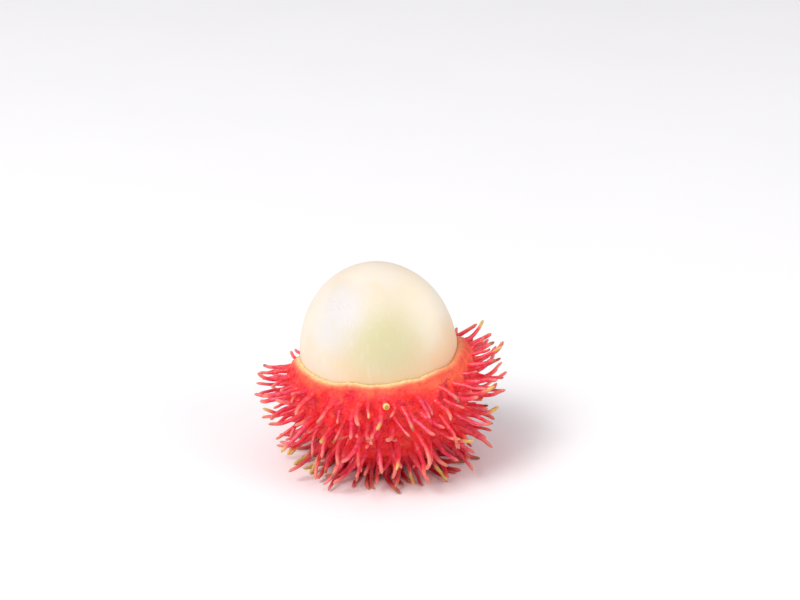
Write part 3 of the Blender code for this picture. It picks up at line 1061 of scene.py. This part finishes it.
def add_area_light(name, place, target, size, power):
    """A square soft light that looks at the target."""
    data = bpy.data.lights.new(name, "AREA")
    data.size = size
    data.energy = power
    light = add_object(name, data)
    light.location = place
    light.rotation_euler = (Vector(target) - Vector(place)).to_track_quat("-Z", "Y").to_euler()


class RAMBUTAN_OT_stage(bpy.types.Operator):
    """Build the floor, the lights and the camera"""

    bl_idname = "rambutan.stage"
    bl_label = "Stage"

    def execute(self, context):
        scene = context.scene
        settings = scene.rambutan_stage
        low, high = (Vector(corner) for corner in CAD_BOX)
        middle = (low + high) / 2.0
        signs = ((-1, -1), (1, -1), (1, 1), (-1, 1))
        corners = [(x * FLOOR_REACH, y * FLOOR_REACH, 0.0) for x, y in signs]
        floor = add_mesh("floor", corners, [], [(0, 1, 2, 3)], {})
        floor.data.materials.append(floor_material(settings))
        world = bpy.data.worlds.new("studio")
        world.use_nodes = True
        back = world.node_tree.nodes["Background"]
        back.inputs["Color"].default_value = SURROUND_COLOUR
        back.inputs["Strength"].default_value = settings.surround
        scene.world = world
        add_area_light("key_light", KEY_PLACE, middle, KEY_SIZE, settings.key_power)
        add_area_light("fill_light", FILL_PLACE, middle, FILL_SIZE, settings.fill_power)
        camera = bpy.data.cameras.new("camera")
        camera.lens = settings.lens
        camera.sensor_width = SENSOR_WIDTH
        eye = add_object("camera", camera)
        forward = Vector((0.0, math.cos(settings.elevation), -math.sin(settings.elevation)))
        up = Vector((0.0, math.sin(settings.elevation), math.cos(settings.elevation)))
        aim = middle + Vector((settings.aside, 0.0, 0.0)) + up * settings.above
        eye.location = aim - forward * settings.distance
        eye.rotation_euler = forward.to_track_quat("-Z", "Y").to_euler()
        scene.camera = eye
        scene.view_settings.view_transform = "Standard"
        return {"FINISHED"}


class RAMBUTAN_PT_panel(bpy.types.Panel):
    """Buttons and settings for the rambutan"""

    bl_label = "Rambutan"
    bl_idname = "RAMBUTAN_PT_panel"
    bl_space_type = "VIEW_3D"
    bl_region_type = "UI"
    bl_category = "Rambutan"

    def draw(self, context):
        layout = self.layout
        for operator, group in STEPS:
            box = layout.box()
            box.operator(operator)
            settings = getattr(context.scene, group)
            for name in settings.bl_rna.properties.keys():
                if name not in ("rna_type", "name"):
                    box.prop(settings, name)


STEPS = (
    ("rambutan.rind_skin", "rambutan_rind"),
    ("rambutan.rind_spines", "rambutan_spines"),
    ("rambutan.flesh", "rambutan_flesh"),
    ("rambutan.stage", "rambutan_stage"),
)

GROUPS = {
    "rambutan_rind": RambutanRindSettings,
    "rambutan_spines": RambutanSpineSettings,
    "rambutan_flesh": RambutanFleshSettings,
    "rambutan_stage": RambutanStageSettings,
}

CLASSES = (
    *GROUPS.values(),
    RAMBUTAN_OT_rind_skin,
    RAMBUTAN_OT_rind_spines,
    RAMBUTAN_OT_flesh,
    RAMBUTAN_OT_stage,
    RAMBUTAN_PT_panel,
)


def register():
    for item in CLASSES:
        bpy.utils.register_class(item)
    for name, group in GROUPS.items():
        setattr(bpy.types.Scene, name, bpy.props.PointerProperty(type=group))


def unregister():
    for name in GROUPS:
        delattr(bpy.types.Scene, name)
    for item in reversed(CLASSES):
        bpy.utils.unregister_class(item)


def main():
    register()
    bpy.ops.rambutan.rind_skin()
    bpy.ops.rambutan.rind_spines()
    bpy.ops.rambutan.flesh()
    bpy.ops.rambutan.stage()


if __name__ == "__main__":
    main()
